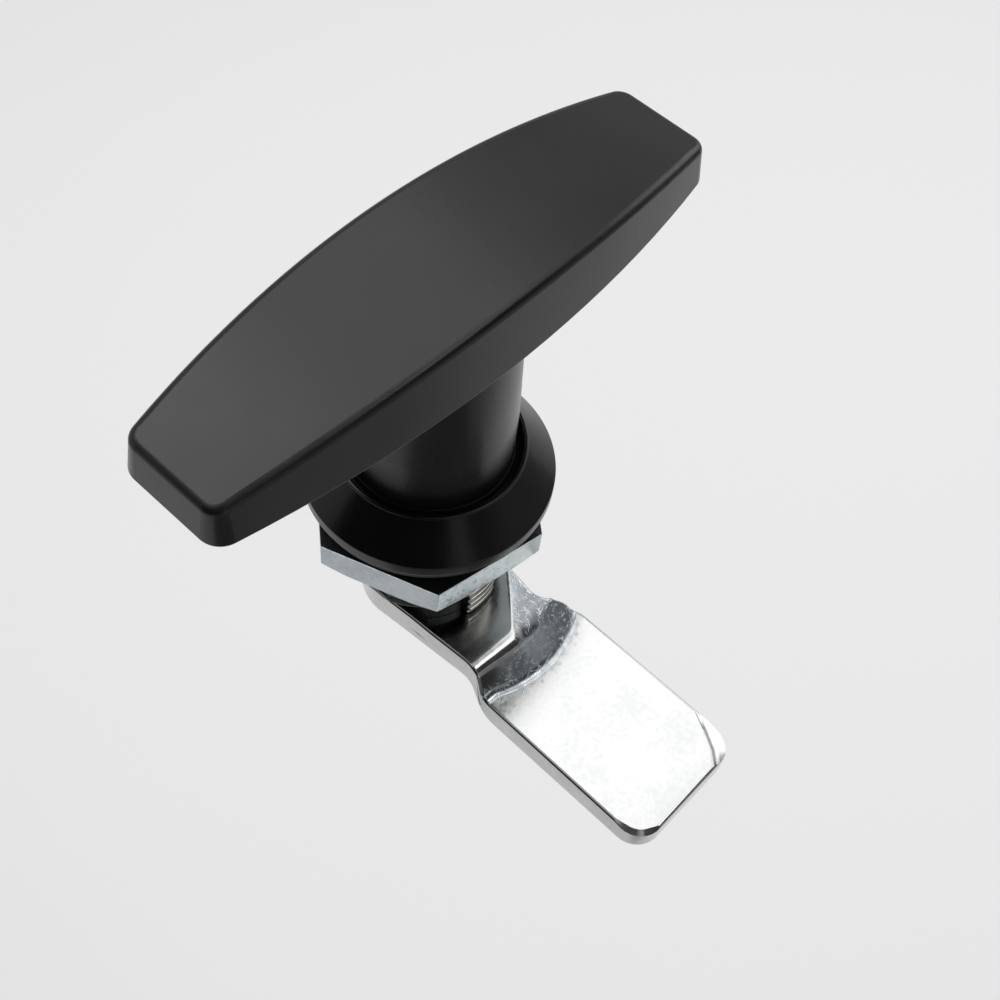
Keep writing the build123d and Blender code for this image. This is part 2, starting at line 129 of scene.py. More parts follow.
class Bench:
    """The modelling steps that the pieces share, each done with Blender's own operators."""

    def clear(self) -> None:
        """Leaves edit mode and selects nothing."""
        if bpy.context.object is not None and bpy.context.object.mode != "OBJECT":
            bpy.ops.object.mode_set(mode="OBJECT")
        bpy.ops.object.select_all(action="DESELECT")

    def take(self, piece: Piece) -> None:
        """Makes a piece the only selected and the active one.

        Args:
            piece: The object.
        """
        self.clear()
        piece.select_set(True)
        bpy.context.view_layer.objects.active = piece

    @contextmanager
    def editing(self, piece: Piece) -> Iterator[None]:
        """Opens a piece for editing with all of it selected, and closes it again.

        Args:
            piece: The object that is edited.
        """
        self.take(piece)
        bpy.ops.object.mode_set(mode="EDIT")
        bpy.ops.mesh.select_all(action="SELECT")
        yield
        bpy.ops.object.mode_set(mode="OBJECT")

    def trace(self, name: str, points: Sequence[Point3]) -> Piece:
        """Draws a chain of edges by pulling one vertex from point to point.

        Args:
            name: The name of the new object.
            points: The chain's points in millimetres.

        Returns:
            The object, at the origin and in object mode.
        """
        self.clear()
        start = Vector(points[0]) * MM
        bpy.ops.mesh.primitive_plane_add(size=MM, location=start)
        piece = bpy.context.active_object
        piece.name = name
        with self.editing(piece):
            bpy.ops.mesh.merge(type="CENTER")
            for here, there in zip(points, points[1:]):
                step = (Vector(there) - Vector(here)) * MM
                bpy.ops.mesh.extrude_vertices_move(TRANSFORM_OT_translate={"value": step})
        bpy.ops.object.transform_apply(location=True, rotation=True, scale=True)
        return piece

    def close(self, piece: Piece, reach: float = 0.002) -> None:
        """Merges doubled vertices of a closed shape and turns its faces outwards.

        Args:
            piece: The object to mend.
            reach: How near two vertices are merged, in millimetres.
        """
        with self.editing(piece):
            bpy.ops.mesh.remove_doubles(threshold=reach * MM)
            bpy.ops.mesh.dissolve_degenerate(threshold=reach * MM)
            bpy.ops.mesh.normals_make_consistent(inside=False)

    def turn(self, name: str, profile: Sequence[Point2], steps: int = 128) -> Piece:
        """Turns a profile about the spindle axis.

        Args:
            name: The name of the new object.
            profile: Radius and height of each point. A profile that begins and ends on the axis gives a
                solid, any other is closed into a ring.
            steps: Number of steps round the axis.

        Returns:
            The turned solid.
        """
        chain = [(radius, 0.0, height) for radius, height in profile]
        if profile[0][0] > 0:
            chain.append(chain[0])
        piece = self.trace(name, chain)
        with self.editing(piece):
            bpy.ops.mesh.remove_doubles(threshold=AXIS_REACH * MM)
            bpy.ops.mesh.spin(steps=steps, angle=2 * pi, center=(0, 0, 0), axis=(0, 0, 1))
        self.close(piece)
        return piece

    def pull(self, name: str, outline: Sequence[Point3], rise: Point3) -> Piece:
        """Fills an outline and pulls it into a prism.

        Args:
            name: The name of the new object.
            outline: The outline's points in order, without the first one again at the end.
            rise: The way and length of the pull.

        Returns:
            The prism.
        """
        piece = self.trace(name, [*outline, outline[0]])
        with self.editing(piece):
            bpy.ops.mesh.edge_face_add()
            bpy.ops.mesh.extrude_region_move(TRANSFORM_OT_translate={"value": Vector(rise) * MM})
        self.close(piece)
        return piece

    def apply(self, piece: Piece, modifier: bpy.types.Modifier) -> None:
        """Applies a modifier of a piece."""
        self.take(piece)
        bpy.ops.object.modifier_apply(modifier=modifier.name)

    def cut(self, piece: Piece, tool: Piece, how: Cut) -> None:
        """Works on a piece with a second solid, which is used up.

        Args:
            piece: The object that is changed.
            tool: The solid that changes it.
            how: Whether the tool is taken away, added or intersected.
        """
        modifier = piece.modifiers.new("work", "BOOLEAN")
        modifier.operation = how.value
        modifier.object = tool
        modifier.solver = "EXACT"
        self.apply(piece, modifier)
        bpy.data.objects.remove(tool, do_unlink=True)

    def pick_nothing(self, piece: Piece, kind: str) -> None:
        """Makes ready for picking faces or edges of a piece, with none of them picked.

        Args:
            piece: The object.
            kind: FACE or EDGE.
        """
        self.take(piece)
        bpy.ops.object.mode_set(mode="EDIT")
        bpy.ops.mesh.select_mode(type=kind)
        bpy.ops.mesh.select_all(action="DESELECT")
        bpy.ops.object.mode_set(mode="OBJECT")

    def pick_faces(self, piece: Piece, wanted: Callable[[bpy.types.MeshPolygon], bool]) -> None:
        """Selects the faces that pass a test and leaves the piece in edit mode, picking faces.

        Args:
            piece: The object.
            wanted: Says of a face whether it is selected.
        """
        self.pick_nothing(piece, "FACE")
        for face in piece.data.polygons:
            face.select = wanted(face)
        bpy.ops.object.mode_set(mode="EDIT")

    def put_back(self) -> None:
        """Goes back to picking vertices and to object mode."""
        bpy.ops.mesh.select_mode(type="VERT")
        bpy.ops.object.mode_set(mode="OBJECT")

    def slice(
        self, piece: Piece, point: Point3, normal: Point3, side: Side, beyond: float | None = None
    ) -> None:
        """Cuts a piece at a plane and fills the cut.

        Args:
            piece: The object that is cut.
            point: A point of the plane.
            normal: The plane's normal.
            side: The side that is removed, as the normal sees it.
            beyond: Only faces whose middle has a smaller Y than this are cut, or None for all.
        """
        self.pick_faces(piece, lambda face: beyond is None or face.center.y < beyond * MM)
        bpy.ops.mesh.bisect(
            plane_co=Vector(point) * MM,
            plane_no=Vector(normal).normalized(),
            use_fill=True,
            clear_inner=side is Side.BEHIND,
            clear_outer=side is Side.AHEAD,
            threshold=CUT_REACH_M,
        )
        self.put_back()

    def divide(self, piece: Piece, places: Sequence[float], along: Point3 = (1, 0, 0)) -> None:
        """Adds edges round a piece and leaves its shape as it is.

        Args:
            piece: The object that gets the edges.
            places: Where they go along the axis.
            along: The axis.
        """
        for place in places:
            with self.editing(piece):
                plane = Vector(along) * place * MM
                bpy.ops.mesh.bisect(plane_co=plane, plane_no=along, threshold=CUT_REACH_M)

    def merge_level_faces(self, piece: Piece) -> None:
        """Joins the level faces that lie side by side.

        Args:
            piece: The object.
        """
        for up in (1, -1):
            self.pick_faces(piece, lambda face: up * face.normal.z > LEVEL)
            bpy.ops.mesh.dissolve_limited(angle_limit=radians(LEVEL_TURN_DEG))
            self.put_back()

    def soften(self, piece: Piece, width: float, segments: int, over_deg: float) -> None:
        """Rounds the edges of a piece that are sharper than a given angle.

        Args:
            piece: The object whose edges are rounded.
            width: Width of the rounding.
            segments: Number of faces across it.
            over_deg: Edges that turn by less stay as they are.
        """
        modifier = piece.modifiers.new("edges", "BEVEL")
        modifier.width = width * MM
        modifier.segments = segments
        modifier.limit_method = "ANGLE"
        modifier.angle_limit = radians(over_deg)
        modifier.use_clamp_overlap = True
        modifier.harden_normals = False
        self.apply(piece, modifier)

    def smooth(self, piece: Piece, under_deg: float = 32.0) -> None:
        """Shades a piece smooth where its faces turn by less than an angle, and keeps its flats flat.

        Args:
            piece: The object that is shaded.
            under_deg: Edges that turn by more stay sharp.
        """
        self.take(piece)
        bpy.ops.object.shade_smooth_by_angle(angle=radians(under_deg))
        weighted = piece.modifiers.new("flats", "WEIGHTED_NORMAL")
        weighted.mode = "FACE_AREA"
        weighted.weight = FLATS_WEIGHT
        weighted.keep_sharp = True
        self.apply(piece, weighted)


BENCH = Bench()


class Sheet:
    """A material's nodes, with short calls that add and join them."""

    def __init__(self, name: str) -> None:
        """Makes the material with its shader.

        Args:
            name: The material's name.
        """
        self.material = bpy.data.materials.new(name)
        self.material.use_nodes = True
        self.tree = self.material.node_tree
        self.shader = self.tree.nodes["Principled BSDF"]
        self.place = self.tree.nodes.new("ShaderNodeTexCoord").outputs["Object"]

    def fill(self, node: bpy.types.Node, values: Inputs) -> None:
        """Gives inputs of a node a link or an even value.

        Args:
            node: The node.
            values: The link or value of each input.
        """
        for name, value in values.items():
            if isinstance(value, Socket):
                self.tree.links.new(value, node.inputs[name])
            else:
                node.inputs[name].default_value = value

    def add(
        self, kind: str, values: Inputs, **settings: str
    ) -> bpy.types.Node:
        """Adds a node.

        Args:
            kind: The node's type.
            values: The link or value of each input.
            **settings: The node's own settings.

        Returns:
            The node.
        """
        node = self.tree.nodes.new(kind)
        for name, value in settings.items():
            setattr(node, name, value)
        self.fill(node, values)
        return node

    def finish(self, values: Inputs) -> Material:
        """Gives the shader its links and values and hands out the material."""
        self.fill(self.shader, values)
        return self.material

    def mapped(self, scale: Point3, turn_deg: float = 0.0, shift: Point3 = (0, 0, 0)) -> Socket:
        """Object coordinates, stretched, turned and moved.

        Args:
            scale: Stretch along each axis.
            turn_deg: Turn about Z in degrees.
            shift: Move in metres.

        Returns:
            The mapped coordinates.
        """
        spin = (0, 0, radians(turn_deg))
        values = {"Location": shift, "Scale": [1 / s for s in scale], "Rotation": spin, "Vector": self.place}
        return self.add("ShaderNodeMapping", values, vector_type="TEXTURE").outputs["Vector"]

    def noise(self, per_mm: float, detail: float = 3.0, where: Socket | None = None) -> Socket:
        """Cloudy noise about 0.5, with so many clouds in a millimetre and so many finer layers."""
        values = {"Scale": per_mm / MM, "Detail": detail, "Vector": where or self.place}
        return self.add("ShaderNodeTexNoise", values).outputs["Fac"]

    def ramp(self, source: Socket, low: Point2, high: Point2) -> Socket:
        """Stretches a number between two stops, each a position and a value."""
        stops = {"From Min": low[0], "From Max": high[0], "To Min": low[1], "To Max": high[1]}
        return self.add("ShaderNodeMapRange", {**stops, "Value": source}).outputs["Result"]

    def spread(self, noise: Socket, low: float = 0.0, high: float = 1.0) -> Socket:
        """Stretches the middle of a noise between two values."""
        return self.ramp(noise, *zip(MIDDLE, (low, high)))

    def reckon(self, how: str, first: Socket, second: Socket | float) -> Socket:
        """Joins two numbers by an operation such as MULTIPLY."""
        return self.add("ShaderNodeMath", {0: first, 1: second}, operation=how).outputs[0]

    def times(self, first: Socket, *others: Socket | float) -> Socket:
        """The product of two or more numbers.

        Args:
            first: The first number.
            *others: The numbers that multiply it.

        Returns:
            The product.
        """
        for other in others:
            first = self.reckon("MULTIPLY", first, other)
        return first

    def tint(self, factor: Socket, low: Colour, high: Colour) -> Socket:
        """Goes from one colour to another.

        Args:
            factor: The share of the second colour.
            low: The first colour.
            high: The second colour.

        Returns:
            The mixed colour.
        """
        node = self.add("ShaderNodeValToRGB", {"Fac": factor})
        for stop, colour in zip(node.color_ramp.elements, (low, high)):
            stop.color = colour
        return node.outputs["Color"]

    def mix(self, factor: Socket, first: Socket | Colour, second: Socket | Colour) -> Socket:
        """Lays a share of the second colour over the first."""
        return self.add("ShaderNodeMix", {0: factor, 6: first, 7: second}, data_type="RGBA").outputs[2]

    def radius(self, centre: Point2 = (0.0, 0.0)) -> Socket:
        """The distance from an upright axis, in metres.

        Args:
            centre: Where the axis stands, in millimetres.

        Returns:
            The distance.
        """
        here: Socket = self.place
        for how, amount in (("SUBTRACT", (centre[0] * MM, centre[1] * MM, 0)), ("MULTIPLY", (1, 1, 0))):
            here = self.add("ShaderNodeVectorMath", {0: here, 1: amount}, operation=how).outputs["Vector"]
        return self.add("ShaderNodeVectorMath", {0: here}, operation="LENGTH").outputs["Value"]

    def axis(self, name: str) -> Socket:
        """One of the object coordinates, in metres."""
        return self.add("ShaderNodeSeparateXYZ", {0: self.place}).outputs[name]

    def bump(self, height: Socket, depth: float, strength: float, over: Socket | None = None) -> Socket:
        """Raises a relief.

        Args:
            height: The relief's height, from 0 to 1.
            depth: Its real depth.
            strength: How much of it shows.
            over: A relief that it lies on, or None.

        Returns:
            The normal.
        """
        values = {"Strength": strength, "Distance": depth * MM, "Height": height}
        if over is not None:
            values["Normal"] = over
        return self.add("ShaderNodeBump", values).outputs["Normal"]


@dataclass(frozen=True)
class BareLug:
    """Where a coated barrel is rubbed bare: on the thread's crests at the front, between two X places."""

    below: float = -0.4
    crest_radii: Point2 = (11.5, 11.62)
    across: Point2 = (-2.4, 3.4)
    fade: float = 0.3
    front: Point2 = (-8.0, -4.0)
    ragged_per_mm: float = 2.5
    ragged: float = 0.14
    least: float = 0.06

    def mask(self, sheet: Sheet) -> Socket:
        """The bare share at each place.

        Args:
            sheet: The material's nodes.

        Returns:
            1 on bare metal and 0 on the coat.
        """
        fade, edge = self.fade * MM, self.ragged * MM
        left, right = (x * MM for x in self.across)
        below = sheet.ramp(sheet.axis("Z"), (self.below * MM, 1), (self.below * MM + fade, 0))
        ragged = sheet.spread(sheet.noise(self.ragged_per_mm, 3), -edge, edge)
        radius = sheet.reckon("ADD", sheet.radius(), ragged)
        inner, outer = self.crest_radii
        crests = sheet.ramp(radius, (inner * MM, 0), (outer * MM, 1))
        past_left = sheet.ramp(sheet.axis("X"), (left - fade, 0), (left, 1))
        before_right = sheet.ramp(sheet.axis("X"), (right, 1), (right + fade, 0))
        front = sheet.ramp(sheet.axis("Y"), (self.front[0] * MM, 1), (self.front[1] * MM, 0))
        worn = sheet.ramp(sheet.times(past_left, before_right, front), (0, self.least), (1, 1))
        return sheet.times(below, crests, worn)


@dataclass(frozen=True)
class PowderCoat:
    """A black baked powder coat: satin, with a fine orange peel and faint cloudiness."""

    name: str
    dark: Colour = (0.0045, 0.0045, 0.0047, 1)
    light: Colour = (0.008, 0.008, 0.0083, 1)
    roughness: Point2 = (0.25, 0.34)
    clouds_per_mm: float = 0.06
    grit_per_mm: float = 9.0
    grit_share: tuple[Point2, Point2] = ((0.2, 0.85), (0.8, 1.15))
    grit_strength: float = 0.3
    peel_per_mm: float = 1.6
    peel_depth: float = 0.02
    peel_strength: float = 0.35
    gloss: float = 0.38
    rubbed: BareLug | None = None
    bare: Colour = (0.88, 0.85, 0.78, 1)

    def material(self) -> Material:
        """Builds the finish.

        Returns:
            The material.
        """
        sheet = Sheet(self.name)
        clouds = sheet.noise(self.clouds_per_mm, 4)
        grit = sheet.noise(self.grit_per_mm, 2)
        colour = sheet.tint(sheet.spread(clouds), self.dark, self.light)
        wear = sheet.times(clouds, sheet.ramp(grit, *self.grit_share))
        metal: Socket | float = 0.0
        if self.rubbed is not None:
            metal = self.rubbed.mask(sheet)
            colour = sheet.mix(metal, colour, self.bare)
        peel = sheet.bump(sheet.noise(self.peel_per_mm, 2), self.peel_depth, self.peel_strength)
        return sheet.finish({
            "Base Color": colour,
            "Roughness": sheet.spread(wear, *self.roughness),
            "Normal": sheet.bump(grit, self.peel_depth / 5, self.grit_strength, peel),
            "Metallic": metal,
            "Specular IOR Level": self.gloss,
        })


@dataclass(frozen=True)
class WorkedZone:
    """The part of a plate that bending has frosted, which the zinc also tints darker as painted shade and
    flecks with painted glints: past one arc or a line, and before another arc.
    """

    start: Point3
    end: Point3
    line: Point3
    fade: float = 2.0
    ragged: float = 1.0
    ragged_per_mm: float = 0.9
    arc_fade: Point2 = (0.2, 0.7)
    line_fade: Point2 = (-0.2, 0.5)
    line_share: float = 0.7

    def mask(self, sheet: Sheet) -> Socket:
        """The zone's share at each place.

        Args:
            sheet: The material's nodes.

        Returns:
            1 inside the zone and 0 outside.
        """
        ragged = sheet.spread(sheet.noise(self.ragged_per_mm, 4), -self.ragged * MM, self.ragged * MM)
        x, y, radius = self.start
        near, far = (radius + fade for fade in self.arc_fade)
        past = sheet.ramp(sheet.radius((x, y)), (near * MM, 0), (far * MM, 1))
        across_x, across_y, reach = self.line
        along_x, along_y = sheet.times(sheet.axis("X"), across_x), sheet.times(sheet.axis("Y"), across_y)
        near, far = (reach + fade for fade in self.line_fade)
        across = sheet.reckon("ADD", along_x, along_y)
        beyond = sheet.ramp(across, (near * MM, 0), (far * MM, self.line_share))
        x, y, radius = self.end
        out = sheet.reckon("ADD", sheet.radius((x, y)), ragged)
        before = sheet.ramp(out, (radius * MM, 1), ((radius + self.fade) * MM, 0))
        return sheet.times(sheet.reckon("MAXIMUM", past, beyond), before)


@dataclass(frozen=True)
class ZincPlate:
    """Bright zinc on steel: bluish, faintly clouded, frosted and marked where the plate was bent. The bent
    slope carries painted shade and painted glints, and an upper edge can carry a broken line that is partly
    wear and partly a painted highlight.
    """

    name: str
    dull: Colour = (0.47, 0.478, 0.476, 1)
    bright: Colour = (0.555, 0.56, 0.552, 1)
    wear_and_glint: Colour = (0.86, 0.91, 0.94, 1)
    bend_shade: Colour = (0.33, 0.38, 0.42, 1)
    roughness: Point2 = (0.12, 0.18)
    worked_roughness: float = 0.13
    rubbed_roughness: float = 0.3
    clouds_per_mm: float = 0.16
    mottle_per_mm: float = 1.3
    mottle_share: float = 0.45
    dent_per_mm: float = 0.3
    grain: float = 0.2
    marks: float = 0.5
    worked_and_shaded: WorkedZone | None = None
    worn_glint_edge_z: float | None = None
    mark_angles_deg: tuple[float, ...] = (18.0, 64.0, 107.0, 151.0)
    mark_stretch: Point3 = (3.4, 0.55, 1.6)
    mark_shift: float = 0.0137
    mark_stops: Point2 = (0.66, 0.74)
    mark_depth: float = 0.03
    mark_roughness: float = 0.2
    marks_by_work: Point2 = (0.04, 1.6)
    shade_stops: Point2 = (0.40, 0.60)
    rough_stops: Point2 = (0.40, 0.62)
    speck_per_mm: float = 0.8
    speck_stops: Point2 = (0.5, 0.75)
    speck_share: float = 0.6
    bend_shade_share: float = 0.8
    rim_per_mm: float = 0.9
    rim_stops: Point2 = (0.42, 0.56)
    rim_below: tuple[float, ...] = (0.3, 0.2, 0.02, 0.004)
    dent_depth: float = 0.03
    dent_strength: float = 0.1
    grain_depth: float = 0.012

    def strokes(self, sheet: Sheet) -> Socket:
        """Short thin strokes in a few directions.

        Args:
            sheet: The material's nodes.

        Returns:
            1 in the strokes and 0 between them.
        """
        strokes: Socket | None = None
        for count, angle in enumerate(self.mark_angles_deg):
            seed = self.mark_shift * count
            lines = sheet.noise(1.0, 1, sheet.mapped(self.mark_stretch, angle, (seed, 2 * seed, 0)))
            thin = sheet.ramp(lines, *zip(self.mark_stops, (0, 1)))
            strokes = thin if strokes is None else sheet.reckon("MAXIMUM", strokes, thin)
        return strokes

    def rim(self, sheet: Sheet, level: float) -> Socket:
        """A broken line along an upper edge, partly wear and partly a painted highlight.

        Args:
            sheet: The material's nodes.
            level: The height of the edge's upper side, in metres.

        Returns:
            1 on the worn places and 0 elsewhere.
        """
        foot, lower, upper, head = (level - below * MM for below in self.rim_below)
        above = sheet.ramp(sheet.axis("Z"), (foot, 0), (lower, 1))
        under = sheet.ramp(sheet.axis("Z"), (upper, 1), (head, 0))
        broken = sheet.ramp(sheet.noise(self.rim_per_mm, 4), *zip(self.rim_stops, (0, 1)))
        return sheet.times(above, under, broken)

    def material(self) -> Material:
        """Builds the finish.

        Returns:
            The material.
        """
        sheet = Sheet(self.name)
        clouds = sheet.times(sheet.noise(self.clouds_per_mm, 4), 1 - self.mottle_share)
        mottle = sheet.noise(self.mottle_per_mm, 4)
        mixed = sheet.reckon("ADD", clouds, sheet.times(mottle, self.mottle_share))
        marks = self.strokes(sheet)
        shade = sheet.ramp(mixed, *zip(self.shade_stops, (0, 1)))
        colour = sheet.tint(shade, self.dull, self.bright)
        rough = sheet.ramp(mixed, *zip(self.rough_stops, self.roughness))
        if self.worked_and_shaded is not None:
            worked_and_shaded = self.worked_and_shaded.mask(sheet)
            marks = sheet.times(marks, sheet.ramp(worked_and_shaded, *zip((0, 1), self.marks_by_work)))
            stops = zip(self.speck_stops, (0, self.speck_share))
            specks = sheet.ramp(sheet.noise(self.speck_per_mm, 6), *stops)
            # Painted shade: the bent slope is tinted darker and bluish, as if it lay in shade.
            colour = sheet.mix(sheet.ramp(worked_and_shaded, (0, 0), (1, self.bend_shade_share)), colour, self.bend_shade)
            # Painted glints: specks and strokes on the bent slope are tinted near white; the strokes are also
            # real marks, with their own bump.
            specks = sheet.times(worked_and_shaded, sheet.reckon("MAXIMUM", specks, marks))
            colour = sheet.mix(specks, colour, self.wear_and_glint)
            rough = sheet.reckon("ADD", rough, sheet.times(worked_and_shaded, self.worked_roughness))
        if self.worn_glint_edge_z is not None:
            # Painted highlight along the upper edge, partly wear: a broken near-white line that is also made
            # rougher.
            rim = self.rim(sheet, self.worn_glint_edge_z * MM)
            colour = sheet.mix(rim, colour, self.wear_and_glint)
            rough = sheet.reckon("ADD", rough, sheet.times(rim, self.rubbed_roughness))
        dents = sheet.bump(sheet.noise(self.dent_per_mm, 2), self.dent_depth, self.dent_strength)
        grain = sheet.bump(mottle, self.grain_depth, self.grain, dents)
        return sheet.finish({
            "Base Color": colour,
            "Roughness": sheet.reckon("ADD", rough, sheet.times(marks, self.mark_roughness * self.marks)),
            "Normal": sheet.bump(marks, self.mark_depth, self.marks / 2, grain),
            "Metallic": 1.0,
        })


@dataclass(frozen=True)
class TurnedSteel:
    """Plain steel from the lathe, with fine rings round the spindle axis."""

    name: str
    dark: Colour = (0.34, 0.34, 0.35, 1)
    light: Colour = (0.56, 0.56, 0.57, 1)
    roughness: Point2 = (0.24, 0.4)
    rings_per_mm: float = 5.0
    rings_across: float = 0.1
    stains_per_mm: float = 0.3

    def material(self) -> Material:
        """Builds the finish.

        Returns:
            The material.
        """
        sheet = Sheet(self.name)
        rings = sheet.noise(1.0, 3, sheet.mapped((self.rings_across, self.rings_across, self.rings_per_mm)))
        return sheet.finish({
            "Base Color": sheet.tint(sheet.spread(sheet.noise(self.stains_per_mm, 4)), self.dark, self.light),
            "Roughness": sheet.spread(rings, *self.roughness),
            "Normal": sheet.bump(rings, 0.01, 0.4),
            "Metallic": 1.0,
        })


@dataclass(frozen=True)
class Hazed:
    """An even dark surface with a faint haze and a fine grain, such as blued steel or moulded rubber."""

    name: str
    dark: Colour
    light: Colour
    roughness: Point2
    haze_per_mm: float
    haze_detail: float
    haze_start: float
    grain_per_mm: float
    grain_detail: float
    grain_depth: float
    grain: float
    metal: float
    gloss: float = 0.5

    def material(self) -> Material:
        """Builds the finish.

        Returns:
            The material.
        """
        sheet = Sheet(self.name)
        haze = sheet.noise(self.haze_per_mm, self.haze_detail)
        shade = sheet.ramp(haze, (self.haze_start, 0), (MIDDLE[1], 1))
        grain = sheet.noise(self.grain_per_mm, self.grain_detail)
        return sheet.finish({
            "Base Color": sheet.tint(shade, self.dark, self.light),
            "Roughness": sheet.spread(haze, *self.roughness),
            "Normal": sheet.bump(grain, self.grain_depth, self.grain),
            "Metallic": self.metal,
            "Specular IOR Level": self.gloss,
        })


class Paint:
    """The finishes of the latch, each built once."""

    def __init__(self) -> None:
        """Builds every finish."""
        self.grip = PowderCoat("satin_black_coat").material()
        self.flange = PowderCoat(
            "coated_flange_bare_barrel", dark=(0.0025, 0.0025, 0.0027, 1), light=(0.005, 0.005, 0.0053, 1),
            roughness=(0.20, 0.28), peel_depth=0.012, gloss=0.33, rubbed=BareLug(),
        ).material()
        bent = WorkedZone(start=(-3.0, 20.0, 39.9), end=(2.5, -4.5, 18.5), line=(0.749, -0.662, 12.7))
        self.cam = ZincPlate("zinc_on_cam", marks=1.0, worked_and_shaded=bent).material()
        self.nut = ZincPlate(
            "zinc_on_nut", dull=(0.36, 0.40, 0.42, 1), bright=(0.46, 0.50, 0.52, 1),
            clouds_per_mm=0.2, grain=0.14, marks=0.4, worn_glint_edge_z=-3.2,
        ).material()
        self.hardware = ZincPlate("zinc_on_hardware", clouds_per_mm=0.3).material()
        self.turned = TurnedSteel("turned_steel").material()
        self.spring = Hazed(
            "blued_spring_steel", (0.022, 0.023, 0.027, 1), (0.07, 0.072, 0.08, 1), roughness=(0.28, 0.45),
            haze_per_mm=0.5, haze_detail=4, haze_start=0.3,
            grain_per_mm=4.0, grain_detail=2, grain_depth=0.01, grain=0.3, metal=1.0,
        ).material()
        rubber = Hazed(
            "black_rubber", (0.010, 0.010, 0.010, 1), (0.028, 0.028, 0.027, 1), roughness=(0.5, 0.75),
            haze_per_mm=0.4, haze_detail=5, haze_start=0.35,
            grain_per_mm=6.0, grain_detail=3, grain_depth=0.012, grain=0.5, metal=0.0,
        )
        self.rubber = rubber.material()
        # Painted shade: the wiper is a darker, less glossy copy of the gasket rubber, for the ring that sits
        # down in the flange's recess.
        self.wiper = replace(
            rubber, name="wiper_rubber", gloss=0.2,
            dark=(0.002, 0.002, 0.002, 1), light=(0.006, 0.006, 0.006, 1),
        ).material()


def grey(tone: float) -> Colour:
    """A neutral colour of one tone."""
    return (tone, tone, tone, 1)


def dress(piece: Piece, material: Material) -> None:
    """Gives a piece one material in place of any it has."""
    piece.data.materials.clear()
    piece.data.materials.append(material)


def set_down(
    piece: Piece, name: str, material: Material, body: str, node: str, smooth_deg: float = 32.0
) -> None:
    """Finishes a modelled piece and hands it to the frame.

    Args:
        piece: The modelled piece.
        name: Its final name.
        material: Its finish.
        body: The body that it rides on.
        node: The node that it replaces.
        smooth_deg: Edges that turn by less are shaded smooth.
    """
    piece.name = name
    BENCH.smooth(piece, smooth_deg)
    dress(piece, material)
    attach(piece, body)
    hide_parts(node)
    log.info("%s: %d faces", name, len(piece.data.polygons))


def dress_node(node: str, material: Material) -> None:
    """Gives a node of the frame a material in its own slots.

    Args:
        node: The node's name.
        material: The finish.
    """
    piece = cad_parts[node]
    for slot in piece.material_slots:
        slot.material = material
    if not piece.material_slots:
        piece.data.materials.append(material)
    log.info("dressed %s", node)


@dataclass(frozen=True)
class Panel:
    """A lamp's face or a card: where it is, its sides, and how bright the lamp or how pale the card is."""

    name: str
    at: Point3
    width: float
    height: float
    level: float


